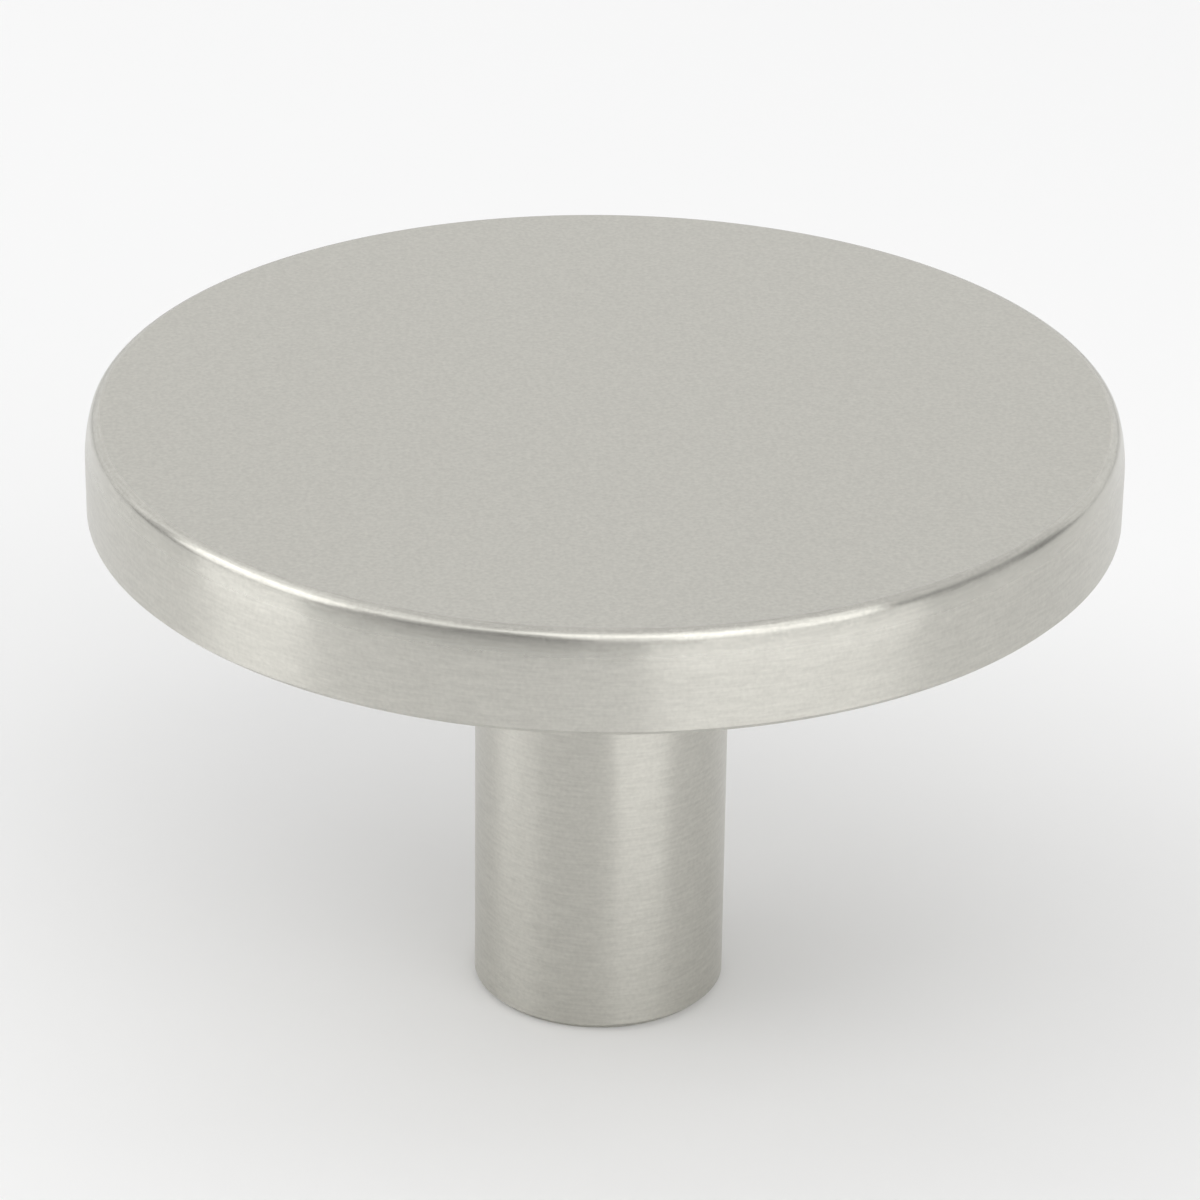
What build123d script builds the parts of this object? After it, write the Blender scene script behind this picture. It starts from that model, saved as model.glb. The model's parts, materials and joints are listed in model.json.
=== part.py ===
"""Cabinet knob: a thin round head on a straight stem, one piece of metal finished on a lathe.

Millimetres, +Z up. The origin is the middle of the stem's foot, the face that seats on the door,
and +Z runs along the knob's axis to the front face of the head.
"""

import os
from math import radians, sin, tan

from build123d import *

# Driving dimensions of the turned body
head_diameter = 40.0
head_thickness = 4.0
projection = 25.0  # from the door to the front face
stem_diameter = 10.0
shoulder_radius = 5.0  # the wall of the head rolls in towards the front on this radius
shoulder_angle = 26.0  # degrees, how far it has rolled in where the front edge starts
front_edge_radius = 0.45  # the front edge carries on from there to the front face
back_edge_break = 0.2  # small chamfer round the back of the head
stem_root_radius = 1.0  # fillet between the stem and the back of the head
foot_edge_break = 0.25  # small chamfer round the foot

# Driving dimensions of the tapped hole, for a machine screw that comes through the door
thread_diameter = 4.0
thread_pitch = 0.7
hole_depth = 14.0  # from the foot to the end of the straight wall
mouth_margin = 0.2  # how far the countersink's rim stands outside the thread
mouth_angle = 90.0  # degrees, across the countersink
drill_point_angle = 118.0  # degrees, across the tip that the drill leaves

# Sizes that follow from those
head_radius = head_diameter / 2
stem_radius = stem_diameter / 2
stem_length = projection - head_thickness
tap_drill_radius = (thread_diameter - thread_pitch) / 2
mouth_radius = thread_diameter / 2 + mouth_margin
mouth_depth = (mouth_radius - tap_drill_radius) / tan(radians(mouth_angle / 2))
drill_point_height = tap_drill_radius / tan(radians(drill_point_angle / 2))


def corner_at(section, place):
    """The section's corner at that distance from the axis and that height."""
    return section.vertices().sort_by_distance((*place, 0))[0]


def turned(section):
    """The solid that a half section sweeps out about the knob's axis."""
    return revolve(Plane.XZ * section, Axis.Z)


def front_rounding():
    """Two arcs that carry the wall of the head over to its front face without a corner."""
    rolled_in = sin(radians(shoulder_angle))
    drop = shoulder_radius * rolled_in + front_edge_radius * (1 - rolled_in)
    shoulder = JernArc((head_radius, projection - drop), (0, 1), shoulder_radius, shoulder_angle)
    front_edge = JernArc(shoulder @ 1, shoulder % 1, front_edge_radius, 90 - shoulder_angle)
    return shoulder, front_edge


def turned_body():
    """Head and stem in one, with every edge as the lathe leaves it."""
    foot_edge = (stem_radius, 0)
    stem_root = (stem_radius, stem_length)
    back_edge = (head_radius, stem_length)
    shoulder, front_edge = front_rounding()
    straight_cuts = Polyline(
        front_edge @ 1,
        (0, projection),
        (0, 0),
        foot_edge,
        stem_root,
        back_edge,
        shoulder @ 0,
    )
    section = make_face(straight_cuts + shoulder + front_edge)
    section = chamfer(corner_at(section, foot_edge), foot_edge_break)
    section = fillet(corner_at(section, stem_root), stem_root_radius)
    section = chamfer(corner_at(section, back_edge), back_edge_break)
    return turned(section)


def tapped_hole():
    """What the drill and the countersink take out of the foot, at the tapping size."""
    walls = Polyline(
        (0, 0),
        (mouth_radius, 0),
        (tap_drill_radius, mouth_depth),
        (tap_drill_radius, hole_depth),
        (0, hole_depth + drill_point_height),
        close=True,
    )
    return turned(make_face(walls))


knob = turned_body() - tapped_hole()
knob.label = "knob"

os.makedirs("parts", exist_ok=True)
export_step(knob, os.path.join("parts", "knob.step"))
print(f"knob: {knob.volume:.1f} mm3, hole {2 * tap_drill_radius:.2f} mm wide, mouth {mouth_depth:.3f} mm deep")
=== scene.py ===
# %% [markdown]
# # A cabinet knob in satin nickel
# The knob is a thin round plate on a straight stem, one piece of metal that was finished on a lathe
# and then plated. Everything about it follows from that lathe: the form is a single section turned
# about one axis, and the finish is the fine grain that the cutter and the brush left behind. The
# lesson turns the section, taps the screw hole, gives each surface its finish and lights the knob.

# %% Load the frame
import json
from math import atan2, cos, hypot, pi, radians, sin, tan

import bmesh
import bpy
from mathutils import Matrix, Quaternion, Vector

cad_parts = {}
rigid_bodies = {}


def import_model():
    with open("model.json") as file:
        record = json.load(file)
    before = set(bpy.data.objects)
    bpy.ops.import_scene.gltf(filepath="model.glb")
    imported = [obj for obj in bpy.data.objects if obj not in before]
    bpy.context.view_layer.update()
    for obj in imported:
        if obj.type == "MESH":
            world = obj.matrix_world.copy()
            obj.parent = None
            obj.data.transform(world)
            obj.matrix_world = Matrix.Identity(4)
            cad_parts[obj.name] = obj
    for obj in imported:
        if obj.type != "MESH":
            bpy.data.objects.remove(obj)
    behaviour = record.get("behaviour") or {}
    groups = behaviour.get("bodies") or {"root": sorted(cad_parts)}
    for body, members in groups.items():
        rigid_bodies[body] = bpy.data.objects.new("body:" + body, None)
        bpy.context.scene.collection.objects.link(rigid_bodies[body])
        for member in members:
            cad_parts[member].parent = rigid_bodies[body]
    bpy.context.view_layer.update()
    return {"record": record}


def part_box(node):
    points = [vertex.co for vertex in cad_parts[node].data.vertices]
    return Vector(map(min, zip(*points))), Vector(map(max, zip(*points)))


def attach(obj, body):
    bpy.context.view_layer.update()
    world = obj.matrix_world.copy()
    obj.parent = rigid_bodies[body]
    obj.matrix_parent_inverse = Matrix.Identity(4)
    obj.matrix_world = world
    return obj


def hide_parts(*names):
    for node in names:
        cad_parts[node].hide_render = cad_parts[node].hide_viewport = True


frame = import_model()

# %% [markdown]
# ## Sizes
# The frame already holds the knob at its real size, so the large sizes are read from it: the head's
# radius and the projection from the node's box, and the drilled hole from the mount that a screw
# uses. Only what the frame can't tell, such as the stem and the edges, is written here.

# %% Read the sizes
MM = 0.001

low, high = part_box("knob")
head_radius = min(high.x, -low.x)
projection = high.z
head_thickness = 4.0 * MM
stem_radius = 5.0 * MM
stem_length = projection - head_thickness

back_edge_break = 0.2 * MM
foot_edge_break = 0.25 * MM
stem_root_radius = 1.0 * MM

screw_hole = next(mount for mount in frame["record"]["mounts"] if mount["name"] == "screw_hole")
drill_radius = screw_hole["dims"]["r_mm"] * MM
thread_radius = 2.0 * MM
mouth_margin = 0.2 * MM  # how far the countersink's rim stands outside the thread
mouth_radius = thread_radius + mouth_margin
mouth_depth = mouth_radius - drill_radius
hole_depth = mouth_depth + screw_hole["dims"]["length_mm"] * MM
drill_point_angle = radians(118)
hole_tip = hole_depth + drill_radius / tan(drill_point_angle / 2)
print(f"head radius {head_radius / MM:.3f} mm, projection {projection / MM:.2f} mm")
print(f"hole {hole_depth / MM:.2f} mm deep, {hole_tip / MM:.2f} mm to the tip of the drill point")

# %% [markdown]
# ## The half section
# A lathe makes a round thing from one outline, so the outline comes first, as corners with a radius
# and a height. It runs up the drilled hole, round the foot, along the stem and out under the head.
# The wall of the head doesn't meet the front at a corner. It rolls in a little on a wide shoulder,
# and a small front edge then turns over to the front face, which gives the thin bright line. Both
# are arcs, worked out from a radius and two tilts. They are a little tighter than in the CAD model,
# because the knob looks that crisp, and they stay inside its box.

# %% Draw the half section
shoulder_radius = 5.0 * MM
shoulder_angle = radians(16)
front_edge_radius = 0.5 * MM
arc_steps = 12


def add_arc(corners, radius, from_tilt, to_tilt):
    """Carries the outline on from its last corner along an arc, between two tilts of the surface."""
    start_radius, start_height = corners[-1]
    for step in range(1, arc_steps + 1):
        tilt = from_tilt + (to_tilt - from_tilt) * step / arc_steps
        inset = radius * (cos(from_tilt) - cos(tilt))
        rise = radius * (sin(tilt) - sin(from_tilt))
        corners.append((start_radius - inset, start_height + rise))


shoulder_rise = shoulder_radius * sin(shoulder_angle)
front_edge_rise = front_edge_radius * (1 - sin(shoulder_angle))
shoulder_start = projection - shoulder_rise - front_edge_rise

section = [
    (0, hole_tip),
    (drill_radius, hole_depth),
    (drill_radius, mouth_depth),
    (mouth_radius, 0),
    (stem_radius - foot_edge_break, 0),
    (stem_radius, foot_edge_break),
    (stem_radius, stem_length),
    (head_radius - back_edge_break, stem_length),
    (head_radius, stem_length + back_edge_break),
    (head_radius, shoulder_start),
]
add_arc(section, shoulder_radius, 0, shoulder_angle)
add_arc(section, front_edge_radius, shoulder_angle, pi / 2)
section.append((0, projection))
print(f"{len(section)} corners, the shoulder starts at {shoulder_start / MM:.2f} mm")

# %% [markdown]
# ## Tracing the outline
# In Blender the outline is drawn as by hand: a plane is merged into a single point, and that point
# is extruded from corner to corner, which leaves a string of edges on one side of the axis. A
# cylinder that is inset and cut down would also work, but its corners would be harder to place.

# %% Trace the outline
def deselect_all():
    """Leaves nothing selected, because an operator acts on whatever is."""
    for other in bpy.context.view_layer.objects:
        other.select_set(False)
    bpy.context.view_layer.objects.active = None


def start_piece(name):
    """Names the primitive that was just added, and opens it for editing."""
    piece = bpy.context.active_object
    piece.name = name
    piece.data.name = name
    bpy.ops.object.mode_set(mode="EDIT")
    return piece


deselect_all()
bpy.ops.mesh.primitive_plane_add(size=MM)
knob = start_piece("turned_knob")
bpy.ops.mesh.select_all(action="SELECT")
bpy.ops.mesh.merge(type="CENTER")
pen = Vector((0, 0, 0))
for step, (radius, height) in enumerate(section):
    corner = Vector((radius, 0, height))
    move = {"value": corner - pen}
    if step == 0:
        bpy.ops.transform.translate(**move)
    else:
        bpy.ops.mesh.extrude_region_move(TRANSFORM_OT_translate=move)
    pen = corner
print("points drawn:", len(bmesh.from_edit_mesh(knob.data).verts))

# %% [markdown]
# ## The stem's root
# Where the stem meets the head there is a small fillet, because a sharp inner corner would crack. It
# is rounded here, on the outline: bevelling one point is cheaper and cleaner than bevelling a ring
# of edges on the finished body. The broken edges at the back of the head and round the foot are
# flats, which the outline already has.

# %% Round the stem's root
root_segments = 10
round_profile = 0.5  # a bevel of this profile is a circle's arc


def select_corner(piece, radius, height):
    """Selects the one point of the outline that lies at this radius and height."""
    outline = bmesh.from_edit_mesh(piece.data)
    place = Vector((radius, 0, height))
    bpy.ops.mesh.select_all(action="DESELECT")
    nearest = min(outline.verts, key=lambda vert: (vert.co - place).length)
    nearest.select_set(True)
    bmesh.update_edit_mesh(piece.data)


bpy.ops.mesh.select_mode(type="VERT")
select_corner(knob, stem_radius, stem_length)
rounding = {"segments": root_segments, "profile": round_profile, "affect": "VERTICES"}
bpy.ops.mesh.bevel(offset=stem_root_radius, **rounding)
print("points after rounding:", len(bmesh.from_edit_mesh(knob.data).verts))

# %% [markdown]
# ## Turning it
# Spinning the outline once round the axis gives the whole body, with the drilled hole in it. Points
# that lie on the axis come out as one copy per step, so doubles are merged, which closes the poles,
# and then the normals are turned outwards. Enough steps are used that the rim shows no corners.

# %% Spin the outline
turn_steps = 256
merge_distance = 0.001 * MM


def measure(piece):
    """Prints a mesh's size and whether it is closed, with its volume in cubic millimetres."""
    mesh = bmesh.new()
    mesh.from_mesh(piece.data)
    open_edges = sum(not edge.is_manifold for edge in mesh.edges)
    triangles = sum(len(face.verts) - 2 for face in mesh.faces)
    volume = mesh.calc_volume(signed=True) / MM**3
    mesh.free()
    print(f"{piece.name}: {triangles} triangles, {open_edges} open edges, {volume:.1f} mm3")


bpy.ops.mesh.select_all(action="SELECT")
bpy.ops.mesh.spin(steps=turn_steps, angle=2 * pi, center=(0, 0, 0), axis=(0, 0, 1))
bpy.ops.mesh.select_all(action="SELECT")
bpy.ops.mesh.remove_doubles(threshold=merge_distance)
bpy.ops.mesh.normals_make_consistent(inside=False)
bpy.ops.object.mode_set(mode="OBJECT")
measure(knob)

# %% [markdown]
# ## The tap
# The screw that comes through the door needs a thread, 4 mm across with a pitch of 0.7 mm. A slice
# straight across a tap is a cam: its radius falls from the full thread to the core and comes back
# in one turn. A circle is shaped into that cam, and the Screw modifier carries it up the hole, one
# turn for each pitch. A bump would look the same from far away, but the hole is open to view.

# %% Shape the tap
thread_pitch = 0.7 * MM
thread_turns = 18
slice_points = 36
core_margin = 0.1 * MM  # the tap's core stays this far inside the drilled hole and cuts nothing
core_radius = drill_radius - core_margin
crest_half_angle = pi / 8
flank_angle = radians(30)
fall_per_radian = thread_pitch / (2 * pi) / tan(flank_angle)


def apply_modifier(piece, kind, **settings):
    """Adds a modifier to the active piece, sets it and applies it."""
    modifier = piece.modifiers.new(kind.lower(), kind)
    for setting, value in settings.items():
        setattr(modifier, setting, value)
    bpy.ops.object.modifier_apply(modifier=modifier.name)


def tap_radius(angle):
    """Radius of a slice across the tap, at this angle from the middle of its crest."""
    past_crest = max(0, abs(angle) - crest_half_angle)
    return max(core_radius, thread_radius - past_crest * fall_per_radian)


deselect_all()
bpy.ops.mesh.primitive_circle_add(vertices=slice_points, radius=1, location=(0, 0, -thread_pitch))
bpy.ops.object.transform_apply(location=True)
tap = start_piece("tap")
for vert in bmesh.from_edit_mesh(tap.data).verts:
    angle = atan2(vert.co.y, vert.co.x)
    vert.co.x = tap_radius(angle) * cos(angle)
    vert.co.y = tap_radius(angle) * sin(angle)
bmesh.update_edit_mesh(tap.data)
bpy.ops.object.mode_set(mode="OBJECT")
one_turn = {"axis": "Z", "angle": 2 * pi, "steps": slice_points, "render_steps": slice_points}
apply_modifier(tap, "SCREW", screw_offset=thread_pitch, iterations=thread_turns, **one_turn)
print(f"tap: {thread_turns} turns of {thread_pitch / MM:.1f} mm")

# %% [markdown]
# ## Cutting the thread
# The tap is closed at its two ends and taken out of the stem with the Boolean modifier, so the
# thread runs out into the countersink at the mouth as a cut one does. Modelling the thread as part
# of the stem would leave that run-out to be drawn by hand.

# %% Cut the thread
bpy.ops.object.mode_set(mode="EDIT")
bpy.ops.mesh.select_all(action="SELECT")
bpy.ops.mesh.fill_holes(sides=0)
bpy.ops.mesh.normals_make_consistent(inside=False)
bpy.ops.object.mode_set(mode="OBJECT")
measure(tap)

deselect_all()
knob.select_set(True)
bpy.context.view_layer.objects.active = knob
apply_modifier(knob, "BOOLEAN", operation="DIFFERENCE", solver="EXACT", object=tap)
bpy.data.objects.remove(tap)
measure(knob)

# %% [markdown]
# ## Smooth and sharp
# Metal that was turned has crisp lines where two cuts meet and no corners anywhere else. Shading
# smooth by angle keeps the crisp lines. The front edge meets a wide flat face, and the shading of
# that face would bend towards it, so normals are weighted by area: the wide face stays flat and
# only the narrow strips of the edge turn.

# %% Shade the turned surfaces
sharp_angle = radians(30)
largest_face_only = 100

deselect_all()
knob.select_set(True)
bpy.context.view_layer.objects.active = knob
bpy.ops.object.shade_smooth_by_angle(angle=sharp_angle)
apply_modifier(knob, "WEIGHTED_NORMAL", keep_sharp=True, weight=largest_face_only)
print("faces:", len(knob.data.polygons))

# %% [markdown]
# ## Shader maths
# Each finish is a few patterns added up, so shader maths is written as ordinary Python. A small
# class wraps one socket. Arithmetic on it adds Math nodes, and its node method adds any other node.

# %% Wrap a socket
class Signal:
    """One output socket of a material's nodes. Arithmetic on it adds Math nodes to the same tree."""

    def __init__(self, tree, socket):
        self.tree = tree
        self.socket = socket

    def node(self, kind, inputs, **settings):
        """Adds a node of this type, sets it, fills or links its inputs and returns its first output."""
        node = self.tree.nodes.new(kind)
        for setting, value in settings.items():
            setattr(node, setting, value)
        for name, value in inputs.items():
            if isinstance(value, Signal):
                self.tree.links.new(value.socket, node.inputs[name])
            else:
                node.inputs[name].default_value = value
        return Signal(self.tree, node.outputs[0])

    def output(self, name):
        """Another output of the node that this socket belongs to."""
        return Signal(self.tree, self.socket.node.outputs[name])

    def feed(self, socket):
        """Links this output to a socket of the shader."""
        self.tree.links.new(self.socket, socket)

    def math(self, operation, first, second):
        """Adds a Math node. Each of its two inputs is a number or a Signal."""
        return self.node("ShaderNodeMath", {0: first, 1: second}, operation=operation)

    def __add__(self, other):
        return self.math("ADD", self, other)

    def __sub__(self, other):
        return self.math("SUBTRACT", self, other)

    def __rsub__(self, other):
        return self.math("SUBTRACT", other, self)

    def __mul__(self, other):
        return self.math("MULTIPLY", self, other)

    def __pow__(self, other):
        return self.math("POWER", self, other)

    __radd__ = __add__
    __rmul__ = __mul__


print("besides arithmetic, a Signal has:", [name for name in vars(Signal) if not name.startswith("_")])

# %% [markdown]
# ## Plated metal
# All three finishes are the same nickel, a warm grey, and differ in how the surface was cut. So one
# helper starts a metal with its constant values on the shader's own sockets, and three more give
# what a finish is made of: a noise, a colour between a dark and a light nickel, and a bump.

# %% Start a finish
nickel_dark = (0.438, 0.429, 0.394)
nickel_light = (0.717, 0.704, 0.646)
finer_layers = 2  # how many finer noises each noise carries

# The Mix node has sockets of the same name for numbers and colours, so colours go by position
MIX_SHARE = 0
MIX_FIRST = 6
MIX_SECOND = 7
MIX_RESULT = 2


def new_finish(name, **constants):
    """A new metal: its material, the inputs of its one shader and the place on the knob."""
    material = bpy.data.materials.new(name)
    material.use_nodes = True
    tree = material.node_tree
    shader = tree.nodes["Principled BSDF"].inputs
    shader["Metallic"].default_value = 1.0
    for label, value in constants.items():
        shader[label.replace("_", " ").title()].default_value = value
    coordinates = tree.nodes.new("ShaderNodeTexCoord")
    return material, shader, Signal(tree, coordinates.outputs["Object"])


def noise(vector, size):
    """Noise between 0 and 1 with grains of this size in metres."""
    look = {"Vector": vector, "Scale": 1 / size, "Detail": finer_layers}
    return vector.node("ShaderNodeTexNoise", look)


def nickel(share):
    """The metal's colour, from dark to light by a share from 0 to 1."""
    mixed = {MIX_SHARE: share, MIX_FIRST: (*nickel_dark, 1), MIX_SECOND: (*nickel_light, 1)}
    return share.node("ShaderNodeMix", mixed, data_type="RGBA").output(MIX_RESULT)


def bump(height, depth):
    """A normal for a surface that this height from 0 to 1 lifts by a depth in metres."""
    return height.node("ShaderNodeBump", {"Height": height, "Distance": depth, "Strength": 1.0})


print("nickel, dark and light:", nickel_dark, nickel_light)

# %% [markdown]
# ## The satin front
# The front face was blasted or fine ground before plating. It shines softly, the same in every
# direction, with an even grain that is just fine enough to miss at arm's length. One noise, 0.15 mm
# in size, moves the colour, the roughness and a bump of a thousandth of a millimetre together.

# %% Satin front
grain_size = 0.15 * MM
grain_depth = 0.001 * MM
grain_contrast = 0.7
satin_roughness = 0.35
grain_roughness = 0.06


def satin_front():
    """The finish of the flat front: even and soft in every direction."""
    material, shader, place = new_finish("satin_front")
    grain = noise(place, size=grain_size)
    nickel((1 - grain_contrast) / 2 + grain_contrast * grain).feed(shader["Base Color"])
    (satin_roughness + grain_roughness * grain).feed(shader["Roughness"])
    bump(grain, depth=grain_depth).feed(shader["Normal"])
    return material


FRONT = len(knob.data.materials)
knob.data.materials.append(satin_front())
print("finish", FRONT, "is", knob.data.materials[FRONT].name)

# %% [markdown]
# ## The brushed side
# The wall of the head and the stem were brushed while the knob turned, so fine scratches run round
# them. They spread each reflection along the axis and hardly at all round it, which is why the wall
# shows upright bands of light. The shader's anisotropy does that part. The scratches that can be
# seen one by one are a noise in coordinates that are squeezed round the knob, so that each grain
# becomes a streak about a millimetre long. They lie over the same grain as on the front. The
# shoulder was touched by a finer buff than the wall, so on its way to the front edge the roughness
# falls and the bump of the scratches fades out.

# %% Brushed side
streak_width = 0.12 * MM
streak_squeeze = 0.12
streak_share = 0.55
streak_depth = 0.0002 * MM
brushed_roughness = 0.32
scratch_roughness = 0.04
buffed_off = 0.09
buffed_from = shoulder_start
buffed_to = projection - front_edge_radius


def brushed_side():
    """The finish of the wall and the stem: streaks that run round the axis."""
    lathe = {"anisotropic": 0.85, "anisotropic_rotation": 0.25}
    material, shader, place = new_finish("brushed_side", **lathe)
    x = place.node("ShaderNodeSeparateXYZ", {"Vector": place})
    y = x.output("Y")
    z = x.output("Z")
    along_section = z - (x * x + y * y) ** 0.5
    squeezed = {"X": streak_squeeze * x, "Y": streak_squeeze * y, "Z": along_section}
    streaks = noise(place.node("ShaderNodeCombineXYZ", squeezed), size=streak_width)
    grain = noise(place, size=grain_size)
    scratches = (1 - streak_share) * grain + streak_share * streaks
    heights = {"Value": z, "From Min": buffed_from, "From Max": buffed_to}
    buffed = place.node("ShaderNodeMapRange", heights, interpolation_type="SMOOTHSTEP")
    roughness = brushed_roughness + scratch_roughness * scratches - buffed_off * buffed
    nickel(scratches).feed(shader["Base Color"])
    roughness.feed(shader["Roughness"])
    bump(streaks * (1 - buffed), depth=streak_depth).feed(shader["Normal"])
    return material


SIDE = len(knob.data.materials)
knob.data.materials.append(brushed_side())
print("finish", SIDE, "is", knob.data.materials[SIDE].name)

# %% [markdown]
# ## The cut hole
# Plating hardly reaches into a blind hole, so the thread keeps the uneven shine that the tap left.
# A noise of its own gives it small patches, darker and lighter, and there is no bump, because the
# thread itself is shape enough.

# %% Cut hole
patch_size = 0.17 * MM
patch_lightness = 0.6
cut_roughness = 0.25
patch_roughness = 0.15


def cut_hole():
    """The finish of the thread and the drilled wall: darker, with an uneven shine."""
    material, shader, place = new_finish("cut_hole")
    patches = noise(place, size=patch_size)
    nickel(patch_lightness * patches).feed(shader["Base Color"])
    (cut_roughness + patch_roughness * patches).feed(shader["Roughness"])
    return material


HOLE = len(knob.data.materials)
knob.data.materials.append(cut_hole())
print("finish", HOLE, "is", knob.data.materials[HOLE].name)

# %% [markdown]
# ## Which face has which finish
# The three surfaces never share a face, so each face takes its finish by its place: the flat at the
# very front, whatever lies inside the hole, and all the rest. Faces are the right borders here,
# because on the real knob a finish also stops at an edge.

# %% Give each face its finish
flat_enough = 0.99

for face in knob.data.polygons:
    distance = hypot(face.center.x, face.center.y)
    if face.normal.z > flat_enough and face.center.z > shoulder_start:
        face.material_index = FRONT
    elif distance < mouth_radius and face.center.z < hole_tip:
        face.material_index = HOLE
    else:
        face.material_index = SIDE
counts = {}
for face in knob.data.polygons:
    finish = knob.data.materials[face.material_index].name
    counts[finish] = counts.get(finish, 0) + 1
print("faces by finish:", counts)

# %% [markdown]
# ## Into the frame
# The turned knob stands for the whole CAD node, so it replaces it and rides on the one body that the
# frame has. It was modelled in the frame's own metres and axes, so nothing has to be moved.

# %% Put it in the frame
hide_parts("knob")
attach(knob, "root")
print(knob.name, "replaces the node knob and rides on root")

# %% [markdown]
# ## The floor
# A plain pale floor carries the knob's shadow. It matters twice, because the upright wall of the
# head mirrors it: seen from above, a wall shows what lies on the floor in front of it. A large
# matt plane with no shine of its own is enough.

# %% Lay the floor
floor_grey = 0.9
floor_roughness = 0.9
floor_side = 4.0  # metres

deselect_all()
bpy.ops.mesh.primitive_plane_add(size=floor_side)
floor = bpy.context.active_object
floor.name = "floor"
floor_material = bpy.data.materials.new("pale_floor")
floor_material.use_nodes = True
floor_shader = floor_material.node_tree.nodes["Principled BSDF"].inputs
floor_shader["Base Color"].default_value = (floor_grey, floor_grey, floor_grey, 1)
floor_shader["Roughness"].default_value = floor_roughness
floor_shader["Specular IOR Level"].default_value = 0.0
floor.data.materials.append(floor_material)
print("floor of grey", floor_grey)

# %% [markdown]
# ## The room
# Metal shows the room it stands in, so the room comes before the lamps. An even white world of low
# strength stands for the walls of a studio, and keeps every reflection off black. The Standard view
# transform is used, so that a colour comes out about as it is written.

# %% Set the room's level
room_level = 0.32

scene = bpy.context.scene
scene.view_settings.view_transform = "Standard"
world = bpy.data.worlds.new("studio")
world.use_nodes = True
background = world.node_tree.nodes["Background"].inputs
background["Color"].default_value = (1, 1, 1, 1)
background["Strength"].default_value = room_level
scene.world = world
print("room level:", room_level)

# %% [markdown]
# ## The lamps
# Every band of light on the knob is the reflection of one soft lamp, so each lamp is placed by the
# direction in which the knob should see it, and sized by the angle that it fills. The panel behind
# lights the flat front face, and the one overhead the floor. The boxes on the left, on the right and
# in front draw the bright line along the front edge, and a wider, weaker border round two of them
# lets that line fade out softly. Two cards stand close by and draw the upright bands on the wall, and
# two smaller ones under the head do the same for the stem. The cards light the metal only, so that
# they leave no patch on the floor. Each lamp's level is the brightness that its reflection would have
# in a perfect mirror, so where a box and its border add up to more than 1, the line is near white.

# %% Place the lamps
def direction_to(azimuth, elevation):
    """Unit vector from the knob, with azimuth 0 towards the camera and growing to the right."""
    around = radians(azimuth)
    up = radians(elevation)
    return Vector((sin(around) * cos(up), -cos(around) * cos(up), sin(up)))


def soft_lamp(name, azimuth, elevation, distance, width, height, level):
    """A rectangle of light that faces the knob's foot, with its directions and sizes in degrees."""
    data = bpy.data.lights.new(name, "AREA")
    data.shape = "RECTANGLE"
    data.size = 2 * distance * tan(radians(width / 2))
    data.size_y = 2 * distance * tan(radians(height / 2))
    data.energy = level * pi * data.size * data.size_y
    lamp = bpy.data.objects.new(name, data)
    outwards = direction_to(azimuth, elevation)
    lamp.location = distance * outwards
    lamp.rotation_euler = outwards.to_track_quat("Z", "Y").to_euler()
    lamp.visible_camera = False
    scene.collection.objects.link(lamp)
    return lamp


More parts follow.
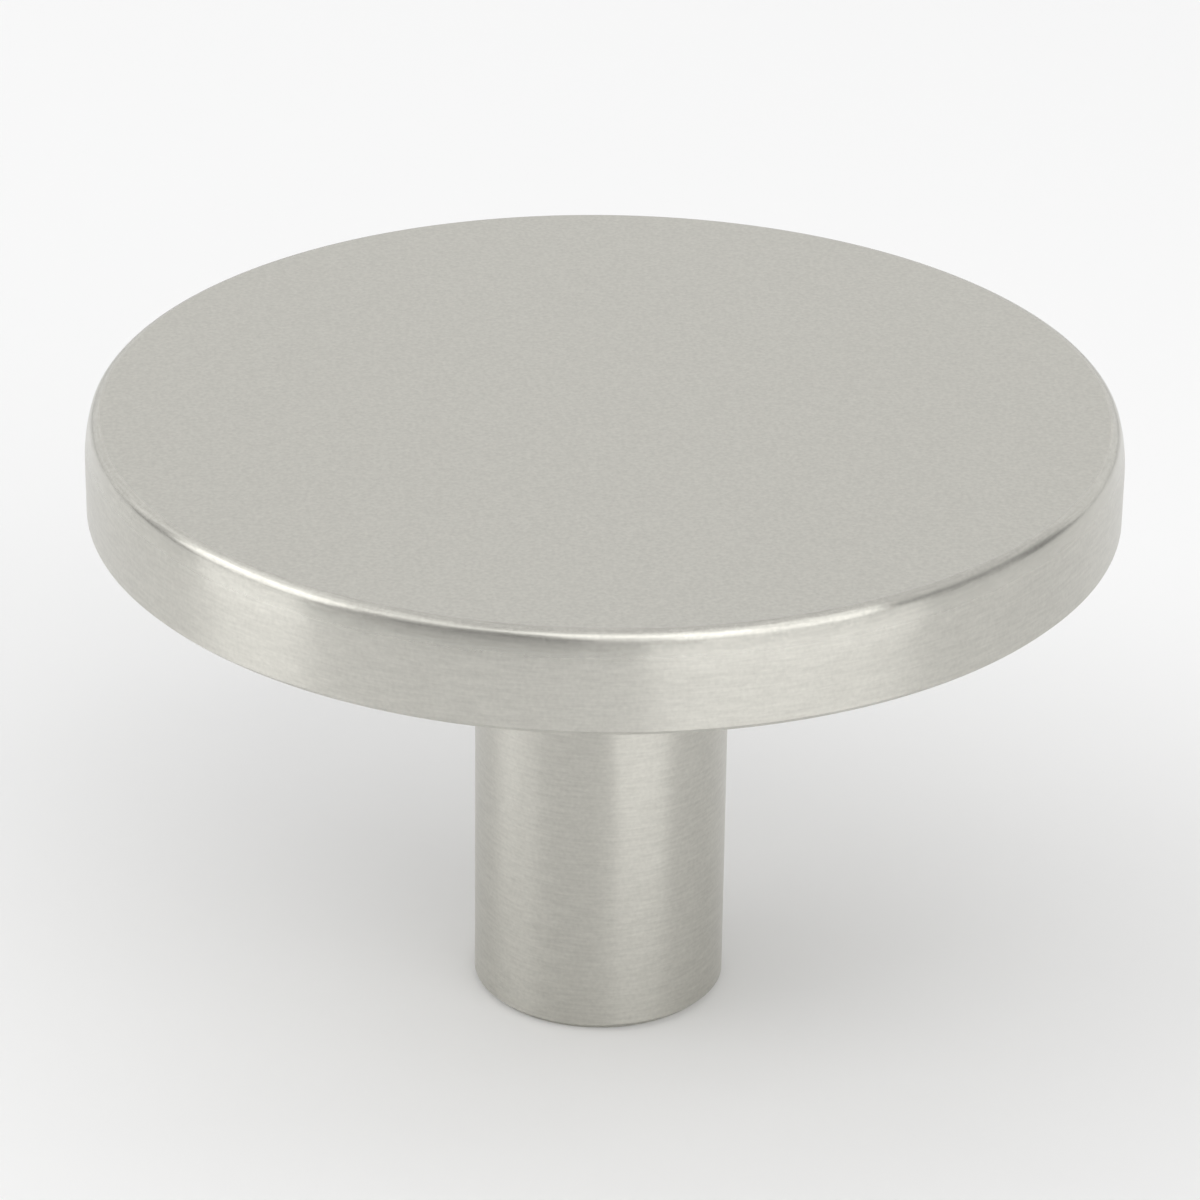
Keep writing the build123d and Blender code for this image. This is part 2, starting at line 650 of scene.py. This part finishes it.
studio = 0.8  # metres from the knob's foot, as the next two
near = 0.05
beside_stem = 0.0155
cards = (
    soft_lamp("left_card", -64, 17, near, width=22, height=34, level=0.44),
    soft_lamp("right_card", 32, 17, near, width=46, height=34, level=0.38),
    soft_lamp("left_stem_card", -77, 30, beside_stem, width=18, height=48, level=0.24),
    soft_lamp("right_stem_card", 33, 30, beside_stem, width=38, height=48, level=0.26),
)
for card in cards:
    card.visible_diffuse = False
soft_boxes = (
    soft_lamp("left_box", -82, 31, studio, width=42, height=32, level=1.36),
    soft_lamp("left_border", -84, 42, studio, width=76, height=56, level=0.27),
    soft_lamp("right_box", 40, 28, studio, width=44, height=32, level=0.65),
    soft_lamp("right_border", 29, 44, studio, width=60, height=56, level=0.88),
    soft_lamp("right_fill", 80, 12, studio, width=36, height=24, level=0.29),
    soft_lamp("front_box", -10, 56, studio, width=64, height=18, level=1.05),
    soft_lamp("top_panel", 180, 76, studio, width=110, height=64, level=0.49),
    soft_lamp("back_panel", 180, 24, studio, width=122, height=40, level=0.59),
)
print("lamps:", [lamp.name for lamp in cards + soft_boxes])

# %% [markdown]
# ## The camera
# The knob is seen from the front and from above, close enough that its round front face looks a
# little wider in front than behind. The camera aims below the middle of that face, to have the stem
# in the picture too, and is turned by less than a degree, because the stem leans by that much.

# %% Aim the camera
view_elevation = 23.96  # degrees
view_roll = radians(0.755)
view_distance = 0.200  # metres
near_clip = 0.01
sensor_width = 36  # millimetres, as a full frame
aim_right = -0.115 * MM
aim_up = -7.557 * MM
focal_pixels = 5197
frame_pixels = 1200

front_middle = Vector((0, 0, projection))
picture_up = Vector((0, sin(radians(view_elevation)), cos(radians(view_elevation))))
camera_place = front_middle + view_distance * direction_to(0, view_elevation)
target = front_middle + aim_right * Vector((1, 0, 0)) + aim_up * picture_up
upright = (target - camera_place).to_track_quat("-Z", "Y")
camera_data = bpy.data.cameras.new("camera")
camera_data.sensor_width = sensor_width
camera_data.lens = sensor_width * focal_pixels / frame_pixels
camera_data.clip_start = near_clip
camera = bpy.data.objects.new("camera", camera_data)
camera.location = camera_place
camera.rotation_euler = (upright @ Quaternion((0, 0, 1), view_roll)).to_euler()
scene.collection.objects.link(camera)
scene.camera = camera
print(f"camera {view_distance:.3f} m away, lens {camera_data.lens:.1f} mm")

# %% [markdown]
# ## Done
# Last, the view layer is brought up to date.

# %% Finish
bpy.context.view_layer.update()
